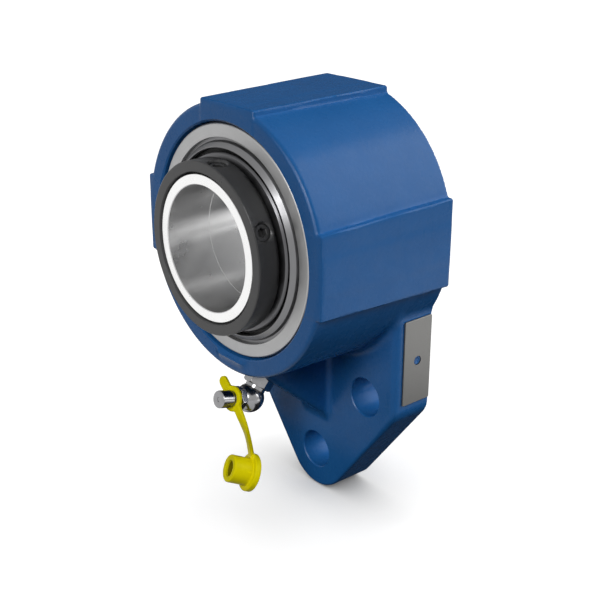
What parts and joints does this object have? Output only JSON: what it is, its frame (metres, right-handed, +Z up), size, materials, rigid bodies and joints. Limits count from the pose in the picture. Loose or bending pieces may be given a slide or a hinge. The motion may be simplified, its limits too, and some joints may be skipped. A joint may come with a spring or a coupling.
{
  "type": "flanged bearing unit",
  "caption": "Cast bracket flange housing around a self-aligning ball bearing insert, with a locking collar, elbow grease fitting and tethered dust cap.",
  "frame": {"origin": "on the shaft axis at the ball centres, which is also the centre of the spherical seat", "axes": "+Y along the shaft from the open front to the mounting face, +Z up and away from the flange's toe, +X towards the nameplate"},
  "size_m": [0.0994, 0.0695, 0.1609],
  "materials": {
    "painted_casting": "blue enamel on cast iron, faintly pebbled",
    "painted_pin": "same blue enamel",
    "nameplate_metal": "satin, fine brushed",
    "bearing_steel": "ground and turned",
    "ball_steel": "polished",
    "seal_steel": "pressed sheet, satin",
    "flinger_steel": "pressed sheet, dark",
    "seal_rubber": "matt black",
    "black_oxide": "black oxide, satin",
    "cage_plastic": "glass-filled, natural",
    "zinc_plate": "bright zinc plate",
    "spring_wire": "bright wire",
    "cap_plastic": "yellow polyethylene"
  },
  "bodies": {
    "housing": {"housing": "painted_casting", "nameplate": "nameplate_metal", "nameplate_pin": "painted_pin", "grease_elbow": "zinc_plate", "grease_nipple": "zinc_plate", "check_spring": "spring_wire"},
    "insert": {"outer_ring": "bearing_steel", "front_seal_shell": "seal_steel", "front_seal_lip": "seal_rubber", "rear_seal_shell": "seal_steel", "rear_seal_lip": "seal_rubber"},
    "shaft_sleeve": {"inner_ring": "bearing_steel", "front_flinger": "flinger_steel", "rear_flinger": "flinger_steel", "locking_collar": "black_oxide"},
    "cage": {"cage": "cage_plastic"},
    "ball_1": {"ball_1": "ball_steel"},
    "ball_2": {"ball_2": "ball_steel"},
    "ball_3": {"ball_3": "ball_steel"},
    "ball_4": {"ball_4": "ball_steel"},
    "ball_5": {"ball_5": "ball_steel"},
    "ball_6": {"ball_6": "ball_steel"},
    "ball_7": {"ball_7": "ball_steel"},
    "ball_8": {"ball_8": "ball_steel"},
    "ball_9": {"ball_9": "ball_steel"},
    "set_screw_top": {"set_screw_top": "black_oxide"},
    "set_screw_side": {"set_screw_side": "black_oxide"},
    "check_ball": {"check_ball": "ball_steel"},
    "dust_cap": {"dust_cap": "cap_plastic"}
  },
  "joints": [
    {"name": "insert_tilt", "type": "hinge", "parent": "housing", "child": "insert", "pos_m": [0, 0, 0], "axis": [1, 0, 0], "range_deg": [-5, 5]},
    {"name": "shaft_spin", "type": "hinge", "parent": "insert", "child": "shaft_sleeve", "pos_m": [0, 0, 0], "axis": [0, 1, 0], "continuous": true},
    {"name": "cage_spin", "type": "hinge", "parent": "insert", "child": "cage", "pos_m": [0, 0, 0], "axis": [0, 1, 0], "continuous": true},
    {"name": "ball_1_spin", "type": "hinge", "parent": "cage", "child": "ball_1", "pos_m": [0, 0, 0.0325], "axis": [0, 1, 0], "continuous": true},
    {"name": "ball_2_spin", "type": "hinge", "parent": "cage", "child": "ball_2", "pos_m": [0.02089, 0, 0.0249], "axis": [0, 1, 0], "continuous": true},
    {"name": "ball_3_spin", "type": "hinge", "parent": "cage", "child": "ball_3", "pos_m": [0.03201, 0, 0.00564], "axis": [0, 1, 0], "continuous": true},
    {"name": "ball_4_spin", "type": "hinge", "parent": "cage", "child": "ball_4", "pos_m": [0.02815, 0, -0.01625], "axis": [0, 1, 0], "continuous": true},
    {"name": "ball_5_spin", "type": "hinge", "parent": "cage", "child": "ball_5", "pos_m": [0.01112, 0, -0.03054], "axis": [0, 1, 0], "continuous": true},
    {"name": "ball_6_spin", "type": "hinge", "parent": "cage", "child": "ball_6", "pos_m": [-0.01112, 0, -0.03054], "axis": [0, 1, 0], "continuous": true},
    {"name": "ball_7_spin", "type": "hinge", "parent": "cage", "child": "ball_7", "pos_m": [-0.02815, 0, -0.01625], "axis": [0, 1, 0], "continuous": true},
    {"name": "ball_8_spin", "type": "hinge", "parent": "cage", "child": "ball_8", "pos_m": [-0.03201, 0, 0.00564], "axis": [0, 1, 0], "continuous": true},
    {"name": "ball_9_spin", "type": "hinge", "parent": "cage", "child": "ball_9", "pos_m": [-0.02089, 0, 0.0249], "axis": [0, 1, 0], "continuous": true},
    {"name": "set_screw_top_travel", "type": "slide", "parent": "shaft_sleeve", "child": "set_screw_top", "axis": [0.1219, 0, 0.9925], "range_m": [0, 0.0025]},
    {"name": "set_screw_side_travel", "type": "slide", "parent": "shaft_sleeve", "child": "set_screw_side", "axis": [0.9135, 0, 0.4067], "range_m": [0, 0.0025]},
    {"name": "check_ball_travel", "type": "slide", "parent": "housing", "child": "check_ball", "axis": [0, 0.9659, -0.2588], "range_m": [0, 0.0012], "stiffness_N_per_m": 200, "springref_m": -0.001, "deforming": ["check_spring"]},
    {"name": "dust_cap_swivel", "type": "hinge", "parent": "housing", "child": "dust_cap", "pos_m": [0, -0.01061, -0.06012], "axis": [0, -0.9659, 0.2588], "range_deg": [-90, 90]}
  ],
  "couplings": [
    {"joint": "cage_spin", "follows": "shaft_spin", "ratio": 0.40231},
    {"joint": "ball_1_spin", "follows": "shaft_spin", "ratio": -2.4614},
    {"joint": "ball_2_spin", "follows": "shaft_spin", "ratio": -2.4614},
    {"joint": "ball_3_spin", "follows": "shaft_spin", "ratio": -2.4614},
    {"joint": "ball_4_spin", "follows": "shaft_spin", "ratio": -2.4614},
    {"joint": "ball_5_spin", "follows": "shaft_spin", "ratio": -2.4614},
    {"joint": "ball_6_spin", "follows": "shaft_spin", "ratio": -2.4614},
    {"joint": "ball_7_spin", "follows": "shaft_spin", "ratio": -2.4614},
    {"joint": "ball_8_spin", "follows": "shaft_spin", "ratio": -2.4614},
    {"joint": "ball_9_spin", "follows": "shaft_spin", "ratio": -2.4614}
  ]
}
